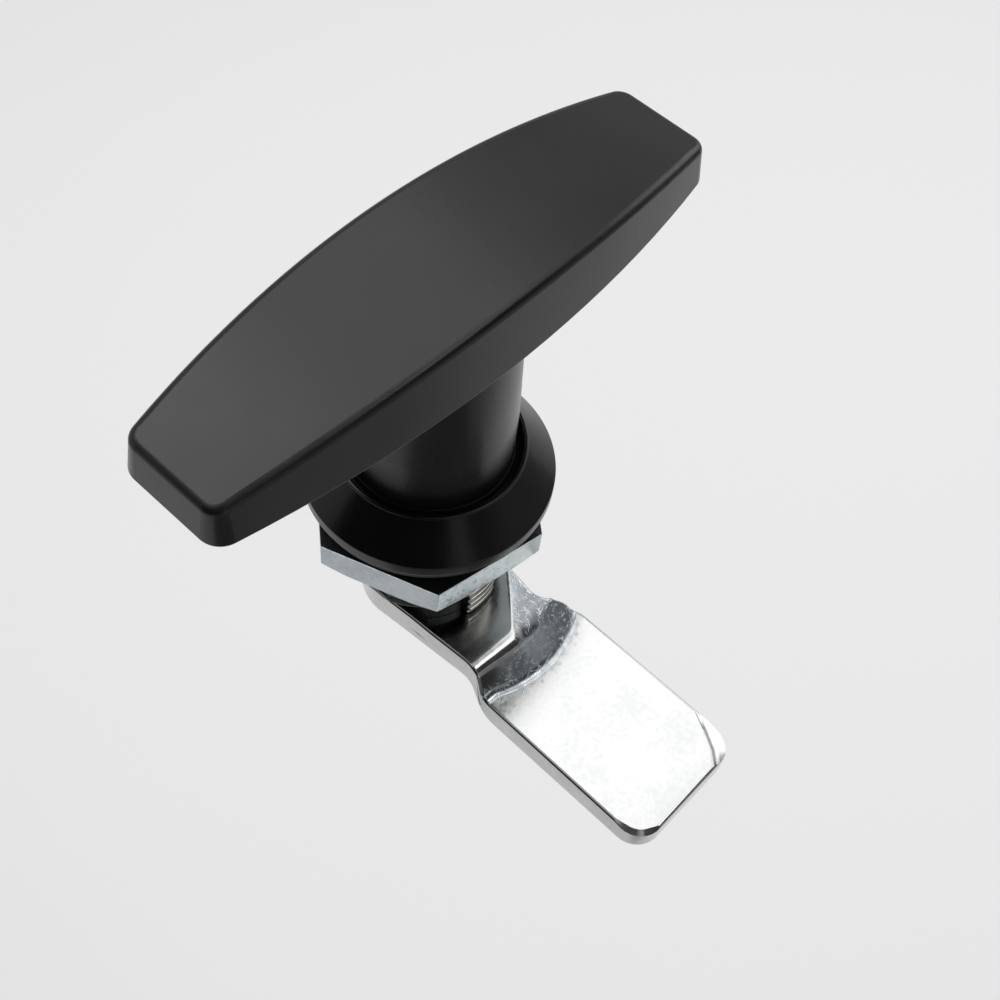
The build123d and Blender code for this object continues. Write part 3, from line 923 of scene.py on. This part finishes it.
@dataclass
class Studio:
    """Floor, surround, lamps, cards and camera."""

    lens: float = 52.427
    camera_at: Point3 = (-86.369, -74.501, 162.528)
    camera_right: Point3 = (0.67656932, -0.73147489, 0.0848436)
    camera_up: Point3 = (0.57599614, 0.59747204, 0.55790287)
    camera_back: Point3 = (-0.45878362, -0.32859038, 0.82555797)
    floor_z: float = -260.0
    floor_radius: float = 4000.0
    floor_corners: int = 96
    floor_tone: float = 0.98
    floor_roughness: float = 0.9
    floor_gloss: float = 0.1
    sensor: float = 36.0
    sees_m: Point2 = (0.01, 20.0)
    steep: float = 0.7
    surround: float = 0.545
    lamps: tuple[Panel, ...] = (
        Panel("key", (255, 250, 650), 420, 560, 1.48),
        Panel("band", (350, -150, 650), 240, 240, 1.1),
        Panel("front_top", (215, -325, 640), 180, 180, 2.6),
        Panel("top", (-60, 370, 640), 300, 300, 2.8),
        Panel("side", (760, -60, 370), 420, 380, 1.7),
    )
    cards: tuple[Panel, ...] = (
        Panel("card_behind_camera", (-800, -240, 250), 1700, 1060, 0.01),
        Panel("card_front", (250, -690, 500), 1000, 620, 0.05),
        Panel("card_low_front", (420, -600, -50), 1100, 400, 0.20),
        Panel("card_low_glow", (275, -528, -77), 280, 200, 0.55),
        # Painted shade: card_floor_left is a dim sheet near the floor, seen only in reflections, that stands
        # in for a shaded patch of floor by the latch.
        Panel("card_floor_left", (-172, -95, -225), 130, 110, 0.20),
        Panel("card_beside_camera", (-330, -240, 560), 420, 360, 0.10),
        # Painted shade: card_below and card_floor_front are dim sheets near the floor, seen only in
        # reflections, that stand in for shaded patches of floor under and in front of the latch.
        Panel("card_below", (-130, -170, -172), 260, 260, 0.14),
        Panel("card_floor_front", (40, -290, -190), 260, 160, 0.35),
    )

    def build(self) -> None:
        """Sets the stage."""
        self.set_camera()
        self.set_surround()
        self.lay_floor()
        for lamp in self.lamps:
            self.hang(lamp)
        for card in self.cards:
            self.stand(card)
        log.info("set the studio")

    def put(self, data: bpy.types.Camera | bpy.types.Light, placement: Matrix) -> Piece:
        """Puts a camera or a lamp into the scene.

        Args:
            data: The camera or the lamp.
            placement: Where it is and how it is turned.

        Returns:
            Its object.
        """
        piece = bpy.data.objects.new(data.name, data)
        bpy.context.scene.collection.objects.link(piece)
        piece.matrix_world = placement
        return piece

    def placement(self, at: Point3, axes: Sequence[Sequence[float]]) -> Matrix:
        """The placement with its origin at a place in millimetres and three given axes."""
        return Matrix.Translation(Vector(at) * MM) @ Matrix(axes).transposed().to_4x4()

    def set_camera(self) -> None:
        """Places the camera as in the photograph."""
        data = bpy.data.cameras.new("camera")
        data.sensor_width = self.sensor
        data.lens = self.lens
        data.clip_start, data.clip_end = self.sees_m
        axes = (self.camera_right, self.camera_up, self.camera_back)
        bpy.context.scene.camera = self.put(data, self.placement(self.camera_at, axes))

    def set_surround(self) -> None:
        """Makes the even pale surround."""
        world = bpy.data.worlds.new("surround")
        world.use_nodes = True
        background = world.node_tree.nodes["Background"]
        background.inputs["Color"].default_value = (1, 1, 1, 1)
        background.inputs["Strength"].default_value = self.surround
        bpy.context.scene.world = world
        bpy.context.scene.view_settings.view_transform = "Standard"

    def lay_floor(self) -> None:
        """Lays a wide pale floor well below the latch."""
        BENCH.clear()
        bpy.ops.mesh.primitive_circle_add(
            vertices=self.floor_corners, radius=self.floor_radius * MM, fill_type="NGON",
            location=(0, 0, self.floor_z * MM),
        )
        floor = bpy.context.active_object
        floor.name = "floor"
        dress(floor, Sheet("pale_floor").finish({
            "Base Color": grey(self.floor_tone),
            "Roughness": self.floor_roughness,
            "Specular IOR Level": self.floor_gloss,
        }))

    def facing(self, at: Point3) -> Matrix:
        """The placement of a lamp or card that faces the latch.

        Args:
            at: Where it is.

        Returns:
            The placement, with its own first axis as level as it can be.
        """
        away = (Vector(at) * MM).normalized()
        along = Vector((0, 1, 0)) if abs(away.z) > self.steep else Vector((0, 0, 1))
        level = along.cross(away).normalized()
        return self.placement(at, (level, away.cross(level), away))

    def hang(self, lamp: Panel) -> None:
        """Hangs a soft lamp.

        Args:
            lamp: The lamp's face.
        """
        data = bpy.data.lights.new(lamp.name, "AREA")
        data.shape = "RECTANGLE"
        data.size, data.size_y = lamp.width * MM, lamp.height * MM
        data.energy = pi * data.size * data.size_y * lamp.level
        self.put(data, self.facing(lamp.at))

    def stand(self, card: Panel) -> None:
        """Stands a card that neither the camera nor the soft light sees.

        Args:
            card: The card.
        """
        BENCH.clear()
        bpy.ops.mesh.primitive_plane_add(size=1)
        piece = bpy.context.active_object
        piece.name = card.name
        sides = Matrix.Diagonal((card.width * MM, card.height * MM, 1, 1))
        piece.matrix_world = self.facing(card.at) @ sides
        material = bpy.data.materials.new(card.name)
        material.use_nodes = True
        nodes = material.node_tree.nodes
        glow = nodes.new("ShaderNodeEmission")
        glow.inputs["Color"].default_value = grey(card.level)
        material.node_tree.links.new(glow.outputs["Emission"], nodes["Material Output"].inputs["Surface"])
        dress(piece, material)
        piece.visible_camera = piece.visible_diffuse = piece.visible_shadow = False
        piece.visible_transmission = piece.visible_volume_scatter = False


@dataclass
class Thread:
    """A right-hand screw thread about the spindle axis."""

    crest: float
    root: float
    pitch: float
    top: float
    bottom: float
    root_share: float = 0.25
    crest_share: float = 0.125
    run_out: float = 1.5
    steps: int = 96

    def rod(self, name: str) -> Piece:
        """Winds one turn of the profile into a rod and cuts both ends square.

        Args:
            name: The name of the new object.

        Returns:
            The closed rod.
        """
        flank = (1 - self.root_share - self.crest_share) / 2
        start = self.bottom - self.run_out * self.pitch
        shares = (0, self.root_share, self.root_share + flank, self.root_share + flank + self.crest_share, 1)
        radii = (self.root, self.root, self.crest, self.crest, self.root)
        piece = BENCH.trace(name, [(r, 0.0, start + s * self.pitch) for r, s in zip(radii, shares)])
        winding = piece.modifiers.new("winding", "SCREW")
        winding.axis = "Z"
        winding.angle = 2 * pi
        winding.screw_offset = self.pitch * MM
        winding.iterations = int((self.top - self.bottom) / self.pitch) + int(2 * self.run_out)
        winding.steps = winding.render_steps = self.steps
        winding.use_merge_vertices = True
        winding.merge_threshold = 4 * AXIS_REACH * MM
        BENCH.apply(piece, winding)
        BENCH.close(piece)
        BENCH.slice(piece, (0, 0, self.bottom), (0, 0, 1), Side.BEHIND)
        BENCH.slice(piece, (0, 0, self.top), (0, 0, 1), Side.AHEAD)
        BENCH.close(piece)
        return piece


@dataclass
class FlangedHousing:
    """The black flange with its raised lip, on a threaded barrel that ends in the stop lug."""

    rim_radius: float = 17.2
    rim_top: float = 3.354
    underside: float = 1.5
    lip_radius: float = 13.0
    lip_inner_radius: float = 12.3
    lip_top: float = 8.5
    lip_foot: float = 8.2
    recess_floor: float = 6.2
    counterbore_radius: float = 11.15
    ledge: float = 3.6
    neck_radius: float = 12.0
    neck_end: float = -3.2
    bore_radius: float = 8.03
    ring_recess_radius: float = 9.3
    ring_recess_top: float = -15.2
    barrel_end: float = -16.5
    lug_end: float = -21.2
    lug_sides: Point2 = (-2.1, 3.1)
    flat: float = 11.2
    clear: float = 6.0
    inside: float = 1.0
    sink: float = 0.05
    steps: int = 160
    roundings: tuple[float, ...] = (0.15, 0.1, 0.15, 0.28, 0.26, 0.4, 0.3, 0.2)
    thread: Thread = field(default_factory=lambda: Thread(11.97, 11.17, 1.5, -2.9, -21.2))

    def flange(self) -> Piece:
        """Turns the flange and the plain neck below it.

        Returns:
            The turned solid.
        """
        bore, floor, foot, inner, outer, rim, under, neck = self.roundings
        profile = rounded([
            (0, self.ledge, 0),
            (self.counterbore_radius, self.ledge, bore),
            (self.counterbore_radius, self.recess_floor, floor),
            (self.lip_inner_radius, self.recess_floor, foot),
            (self.lip_inner_radius, self.lip_top, inner),
            (self.lip_radius, self.lip_top, outer),
            (self.lip_radius, self.lip_foot, 0),
            (self.rim_radius, self.rim_top, rim),
            (self.rim_radius, self.underside, under),
            (self.neck_radius, self.underside, neck),
            (self.neck_radius, self.neck_end, 0),
            (0, self.neck_end, 0),
        ])
        return BENCH.turn("flange", profile, self.steps)

    def barrel(self) -> Piece:
        """Cuts the threaded barrel's flats and leaves the lug below its end.

        Returns:
            The barrel, not yet bored.
        """
        rod = self.thread.rod("barrel")
        left, right = self.lug_sides
        reach = self.rim_radius + self.clear
        inner = self.bore_radius - self.inside
        below = self.lug_end - self.clear
        around = [
            (left, -reach), (left, -inner), (right, -inner), (right, -reach),
            (reach, -reach), (reach, reach), (-reach, reach), (-reach, -reach),
        ]
        outline = [(x, y, below) for x, y in around]
        BENCH.cut(rod, BENCH.pull("cutaway", outline, (0, 0, self.barrel_end - below)), Cut.TAKE_AWAY)
        for side in (-1, 1):
            corners = [
                (side * self.flat, -reach, below), (side * reach, -reach, below),
                (side * reach, reach, below), (side * self.flat, reach, below),
            ]
            tool = BENCH.pull("flat", corners, (0, 0, self.underside - self.sink - below))
            BENCH.cut(rod, tool, Cut.TAKE_AWAY)
        return rod

    def build(self, paint: Paint) -> None:
        """Joins flange and barrel, bores them and dresses the housing.

        Args:
            paint: The finishes.
        """
        piece = self.flange()
        BENCH.cut(piece, self.barrel(), Cut.ADD)
        above, below = self.ledge + self.clear, self.lug_end - self.clear
        bore = [
            (0, above), (self.bore_radius, above), (self.bore_radius, self.ring_recess_top),
            (self.ring_recess_radius, self.ring_recess_top), (self.ring_recess_radius, below), (0, below),
        ]
        BENCH.cut(piece, BENCH.turn("bore", bore), Cut.TAKE_AWAY)
        BENCH.close(piece)
        set_down(piece, "housing_with_thread", paint.flange, HOUSING_BODY, "housing")


@dataclass
class Seals:
    """The wiper ring in the flange's recess and the gasket under it."""

    wiper: tuple[Point3, ...] = (
        (11.45, 6.25, 0), (12.25, 6.25, 0), (12.25, 6.75, 0.15), (11.55, 6.95, 0.15), (11.32, 7.86, 0.1),
        (11.14, 7.97, 0.05), (11.14, 7.8, 0.03), (11.36, 7.0, 0.1),
    )
    gasket: tuple[Point3, ...] = ((12.4, 0.0, 0), (16.6, 0.0, 0.3), (16.6, 1.5, 0.2), (12.4, 1.5, 0))

    def build(self, paint: Paint) -> None:
        """Turns and dresses both rings.

        Args:
            paint: The finishes.
        """
        wiper = BENCH.turn("wiper_ring_lipped", ring(self.wiper))
        set_down(wiper, "wiper_ring_lipped", paint.wiper, HOUSING_BODY, "wiper_ring")
        gasket = BENCH.turn("gasket_ring", ring(self.gasket))
        set_down(gasket, "gasket_ring", paint.rubber, HOUSING_BODY, "gasket")


@dataclass
class PanelNut:
    """The hexagonal panel nut, bevelled on its lower face and threaded."""

    across_flats: float = 30.0
    top: float = -3.2
    thickness: float = 5.0
    turn_deg: float = 49.6
    bevel: float = 0.7
    edge: float = 0.16
    edge_steps: int = 3
    edge_over_deg: float = 21.0
    countersink: float = 0.5
    play: float = 0.15
    margin: float = 0.1
    past: float = 1.0
    thread: Thread = field(default_factory=lambda: Thread(12.03, 11.23, 1.5, -1.0, -11.0))

    def build(self, paint: Paint) -> None:
        """Shapes the nut and dresses it.

        Args:
            paint: The finishes.
        """
        corner = self.across_flats / sqrt(3)
        bottom = self.top - self.thickness
        angles = [radians(self.turn_deg + 60 * i) for i in range(6)]
        outline = [(corner * cos(a), corner * sin(a), bottom) for a in angles]
        piece = BENCH.pull("panel_nut_threaded", outline, (0, 0, self.thickness))
        face = self.across_flats / 2 + self.bevel
        wide = corner + self.margin
        cone = [(0, self.top), (wide, self.top), (wide, bottom + self.bevel), (face, bottom), (0, bottom)]
        BENCH.cut(piece, BENCH.turn("bevelled_face", cone), Cut.KEEP_COMMON)
        BENCH.close(piece)
        BENCH.soften(piece, self.edge, self.edge_steps, self.edge_over_deg)
        mouth = self.thread.crest + self.play
        outer, inner = mouth + self.countersink, mouth - self.countersink
        for level, sense in ((self.top, 1), (bottom, -1)):
            above, deep = level + sense * self.past, level - sense * 2 * self.countersink
            sink = [(0, above), (outer, above), (outer, level), (inner, deep), (0, deep)]
            BENCH.cut(piece, BENCH.turn("countersink", sink), Cut.TAKE_AWAY)
        BENCH.cut(piece, self.thread.rod("tap"), Cut.TAKE_AWAY)
        BENCH.close(piece)
        set_down(piece, "panel_nut_threaded", paint.nut, HOUSING_BODY, "panel_nut")


@dataclass
class JoggledCam:
    """The pressed cam plate with its joggle, rounded edges and coined corners."""

    top: float = -21.5
    thickness: float = 5.2
    drop: float = 5.9
    head_radius: float = 8.9
    top_joggle: Point2 = (-19.5, -23.0)
    bottom_joggle: Point2 = (-18.3, -23.6)
    bends: tuple[float, ...] = (3.2, 2.0, 5.0, 2.0)
    bend_steps: int = 9
    start_turn: Point3 = (0.6, 1.13, 0.8)
    start_slant: float = 0.073
    dish: float = 5.0
    end_bow: Point3 = (2.5, 18.5, 9.6)
    bow_steps: tuple[float, ...] = (
        -6.0, -4.5, -3.0, -1.5, 0.0, 0.6, 1.1, 1.6, 2.1, 2.6, 3.4, 4.6, 6.2, 9.4, 11.2, 14.5,
    )
    straight_beyond: float = 9.4
    widest_bow: float = 0.9
    lean_from: Point2 = (-6.0, -10.5)
    head_lean: Point3 = (0.040, 0.033, 0.30)
    tip_lean: Point3 = (0.018, 0.020, 0.16)
    neck: Point2 = (7.7, -16.5)
    flare_y: float = -20.0
    near_x: Point2 = (-8.1, -8.4)
    far_x: float = 13.1
    tip_y: float = -51.5
    near_corner: float = 4.0
    far_corner: float = 3.8
    neck_radii: Point2 = (7.0, 3.0)
    flare_radii: Point2 = (9.0, 4.0)
    corner_steps: int = 8
    head_swing_deg: float = 9.35
    head_steps: int = 64
    past: float = 1.0
    spare: float = 6.0
    upright: float = 0.02
    facing: float = 0.3
    top_edge: float = 0.52
    bottom_edge: float = 0.8
    edge_steps: int = 5
    edge_reach: float = 0.004
    sliver: float = 0.05
    square: float = 8.1
    coined_line: tuple[Point2, ...] = ((12.93, -43.19), (10.99, -46.83), (9.46, -49.28), (7.49, -51.23))
    coined_beyond: float = -22.5
    coined_steps: tuple[Point2, ...] = ((0.0, 7.0), (0.35, 14.0), (0.8, 21.0), (1.4, 27.0))
    near_coin_deg: tuple[float, ...] = (192.0, 204.0, 216.0, 228.0, 240.0)
    near_coin_slope_deg: float = 38.0
    near_coin_width: float = 0.85
    seam: tuple[Point3, Point3] = ((-8.41, -6.05, -24.39), (-8.12, -9.56, -24.59))
    seam_depth: float = 0.6
    seam_reach: float = 1.1
    seam_gape: float = 0.11

    def side_profile(self) -> list[Point2]:
        """The rounded side profile where the joggle reaches furthest towards the tip.

        Returns:
            The profile's lengthwise places and heights.
        """
        low, bottom = self.top - self.drop, self.top - self.thickness
        head, tip = self.head_radius + self.spare, self.tip_y - self.spare
        corners = [
            (head, self.top, 0), (self.top_joggle[0], self.top, self.bends[0]),
            (self.top_joggle[1], low, self.bends[1]), (tip, low, 0), (tip, low - self.thickness, 0),
            (self.bottom_joggle[1], low - self.thickness, self.bends[2]),
            (self.bottom_joggle[0], bottom, self.bends[3]), (head, bottom, 0),
        ]
        return ring(corners, self.bend_steps)

    def start_back(self, x: float) -> float:
        """How far the joggle's upper line stands back: straight, then slanting away to the far side.

        Args:
            x: The place across the cam.

        Returns:
            How far it is, towards the head.
        """
        corner, slope, reach = self.start_turn
        past = min(x, self.straight_beyond) - corner
        turned = 0.0 if past < -reach else past if past > reach else (past + reach) ** 2 / (4 * reach)
        return slope * turned + self.start_slant * max(0.0, -past)

    def end_back(self, x: float) -> float:
        """How far the joggle's lower line stands back from where its arc reaches furthest."""
        furthest, radius, near = self.end_bow
        return radius - sqrt(radius**2 - max(min(x - furthest, self.widest_bow * radius), -near) ** 2)

    def plate(self) -> Piece:
        """Pulls the side profile across the width and bows the joggle.

        Returns:
            The bowed plate.
        """
        wide = self.far_x + self.spare / 2
        profile = self.side_profile()
        piece = BENCH.pull("joggled_cam", [(-wide, y, z) for y, z in profile], (2 * wide, 0, 0))
        BENCH.divide(piece, self.bow_steps)
        for vertex in piece.data.vertices:
            x, y, z = (c / MM for c in vertex.co)
            middle = (y - self.bottom_joggle[1]) / (self.bottom_joggle[0] - self.bottom_joggle[1])
            foot = self.top - self.drop - self.thickness
            if z > foot + self.drop * clamped(middle) + self.thickness / 2:
                foot += self.thickness
            share = clamped((z - foot) / self.drop)
            start, end = self.start_back(x), self.end_back(x)
            sag = 1 + self.dish * clamped((x - self.start_turn[0]) / 2)
            vertex.co.y += (end + (start - end) * share**sag) * MM
        return piece

    def lean(self, piece: Piece) -> None:
        """Leans the upper faces a little towards the near side and the tip, from the stop plate outwards.

        Args:
            piece: The finished cam.
        """
        for place in self.lean_from:
            BENCH.divide(piece, (place,), (0, 1, 0))
        level, sloped = self.lean_from
        for vertex in piece.data.vertices:
            x, y, z = (c / MM for c in vertex.co)
            start, end = self.top_joggle[0] + self.start_back(x), self.top_joggle[1] + self.end_back(x)
            height = clamped((y - end) / (start - end))
            out = clamped((level - y) / (level - sloped))
            head, tip = (a * x + b * y + c for a, b, c in (self.head_lean, self.tip_lean))
            foot = self.top - self.drop * (1 - height) - self.thickness
            share = clamped((z - foot) / self.thickness)
            vertex.co.z += share * out * (height * head + (1 - height) * tip) * MM

    def outline(self) -> Piece:
        """Pulls the outline seen from above.

        Returns:
            The prism.
        """
        neck_x, neck_y = self.neck
        swing, steps = self.head_swing_deg, self.head_steps
        angles = [radians(-swing + (180 + 2 * swing) * i / steps) for i in range(steps + 1)]
        corners = [
            *((self.head_radius * cos(a), self.head_radius * sin(a), 0) for a in angles),
            (-neck_x, neck_y, self.neck_radii[0]),
            (self.near_x[0], self.flare_y, self.flare_radii[0]),
            (self.near_x[1], self.tip_y, self.near_corner),
            (self.far_x, self.tip_y, self.far_corner),
            (self.far_x, self.flare_y, self.flare_radii[1]),
            (neck_x, neck_y, self.neck_radii[1]),
        ]
        low = self.top - self.drop - self.thickness - self.past
        points = [(x, y, low) for x, y in ring(corners, self.corner_steps)]
        return BENCH.pull("outline", points, (0, 0, self.top + self.past - low))

    def round_edges(self, piece: Piece) -> None:
        """Rounds the outline's edges, the lower ones more than the upper ones.

        Args:
            piece: The cam.
        """
        for upward, width in ((True, self.top_edge), (False, self.bottom_edge)):
            BENCH.pick_nothing(piece, "EDGE")
            sides: dict[tuple[int, int], list[float]] = {}
            for polygon in piece.data.polygons:
                for key in polygon.edge_keys:
                    sides.setdefault(key, []).append(polygon.normal.z)
            for edge in piece.data.edges:
                heights = sorted(sides[edge.key], key=abs)
                facing = heights[-1] if upward else -heights[-1]
                if abs(heights[0]) < self.upright and facing > self.facing:
                    edge.select = True
            bpy.ops.object.mode_set(mode="EDIT")
            bpy.ops.mesh.bevel(
                offset=width * MM, segments=self.edge_steps, affect="EDGES", clamp_overlap=False
            )
            BENCH.put_back()
        for vertex in piece.data.vertices:
            vertex.co.x = min(vertex.co.x, self.far_x * MM)
            vertex.co.z = min(vertex.co.z, self.top * MM)
        BENCH.close(piece, self.edge_reach)

    def coin(self, piece: Piece) -> None:
        """Presses the slanted facets into the tip's two corners.

        Args:
            piece: The cam.
        """
        level = self.top - self.drop
        for (ax, ay), (bx, by) in zip(self.coined_line, self.coined_line[1:]):
            run = hypot(bx - ax, by - ay)
            out_x, out_y = (ay - by) / run, (bx - ax) / run
            fall, before, tilt = 0.0, 0.0, 0.0
            for inset, tilt_deg in self.coined_steps:
                fall += (inset - before) * tan(tilt)
                before, tilt = inset, radians(tilt_deg)
                normal = (out_x * sin(tilt), out_y * sin(tilt), cos(tilt))
                point = (ax + out_x * inset, ay + out_y * inset, level - fall)
                BENCH.slice(piece, point, normal, Side.AHEAD, self.coined_beyond)
        centre_x = self.near_x[1] + self.near_corner
        centre_y = self.tip_y + self.near_corner
        reach = self.near_corner - self.near_coin_width
        slope = radians(self.near_coin_slope_deg)
        for angle in map(radians, self.near_coin_deg):
            normal = (cos(angle) * sin(slope), sin(angle) * sin(slope), cos(slope))
            point = (centre_x + reach * cos(angle), centre_y + reach * sin(angle), level)
            BENCH.slice(piece, point, normal, Side.AHEAD, self.coined_beyond)

    def build(self, paint: Paint) -> None:
        """Shapes the cam and dresses it.

        Args:
            paint: The finishes.
        """
        piece = self.plate()
        BENCH.cut(piece, self.outline(), Cut.KEEP_COMMON)
        BENCH.close(piece, self.sliver)
        BENCH.merge_level_faces(piece)
        self.round_edges(piece)
        self.coin(piece)
        half, low = self.square / 2, self.top - self.thickness - self.past
        square = [(x * half, y * half, low) for x, y in ((1, 1), (-1, 1), (-1, -1), (1, -1))]
        rise = (0, 0, self.thickness + 2 * self.past)
        BENCH.cut(piece, BENCH.pull("square", square, rise), Cut.TAKE_AWAY)
        (ax, ay, az), (_, by, bz) = self.seam
        middle_y, middle_z = (ay + by) / 2, (az + bz) / 2
        back = ax - self.seam_depth
        lens = [
            (back, ay, az), (back, middle_y, middle_z + self.seam_gape), (back, by, bz),
            (back, middle_y, middle_z - self.seam_gape),
        ]
        BENCH.cut(piece, BENCH.pull("seam", lens, (self.seam_reach, 0, 0)), Cut.TAKE_AWAY)
        BENCH.close(piece)
        self.lean(piece)
        set_down(piece, "joggled_cam", paint.cam, TURNING_BODY, "cam", 20.0)


@dataclass
class PlainPieces:
    """The pieces whose solids are shown as they are: the cast T-handle, the inner parts and the fasteners."""

    def build(self, paint: Paint) -> None:
        """Gives each piece its finish.

        Args:
            paint: The finishes.
        """
        for material, nodes in (
            (paint.grip, ("handle",)),
            (paint.turned, ("spindle",)),
            (paint.spring, ("cross_pin", "retaining_ring", "disc_spring", "stop_plate")),
            (paint.rubber, ("o_ring",)),
            (paint.hardware, ("flat_washer", "lock_washer", "cam_screw")),
        ):
            for node in nodes:
                dress_node(node, material)


def main() -> None:
    """Builds the latch and its studio."""
    logging.basicConfig(level=logging.INFO, format="%(name)s: %(message)s")
    paint = Paint()
    Studio().build()
    for part in (FlangedHousing(), Seals(), PanelNut(), JoggledCam(), PlainPieces()):
        part.build(paint)


if __name__ == "__main__":
    main()
